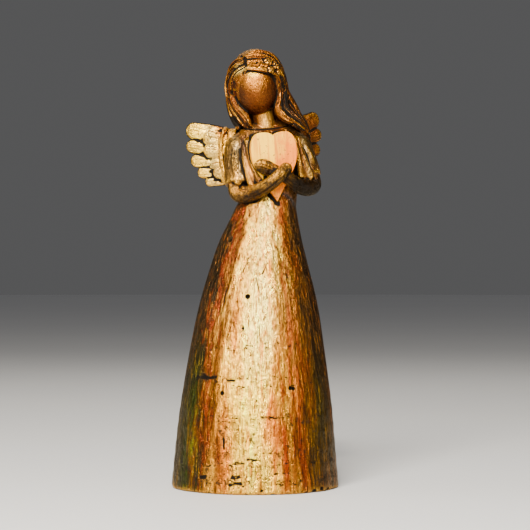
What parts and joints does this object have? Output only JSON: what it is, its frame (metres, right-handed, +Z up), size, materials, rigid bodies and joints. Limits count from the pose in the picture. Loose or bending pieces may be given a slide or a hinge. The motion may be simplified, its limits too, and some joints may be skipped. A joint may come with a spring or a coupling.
{
  "type": "angel figurine",
  "caption": "Standing angel figure with a blank rounded face, long loose hair, folded feathered wings and a bell-shaped gown, its crossed arms holding a flat heart to the chest.",
  "frame": {"origin": "centre of the flat underside", "axes": "+Z up, the figure faces -Y, its left hand side is +X"},
  "size_m": [0.0769, 0.0765, 0.1999],
  "materials": {
    "bronze_paint": "carved wood brushed with gold, copper and bronze paint over black, worn and streaked",
    "bare_wood": "bare pale wood, sanded flat"
  },
  "bodies": {
    "root": {"angel_figure": "bronze_paint", "wooden_heart": "bare_wood"}
  },
  "joints": []
}
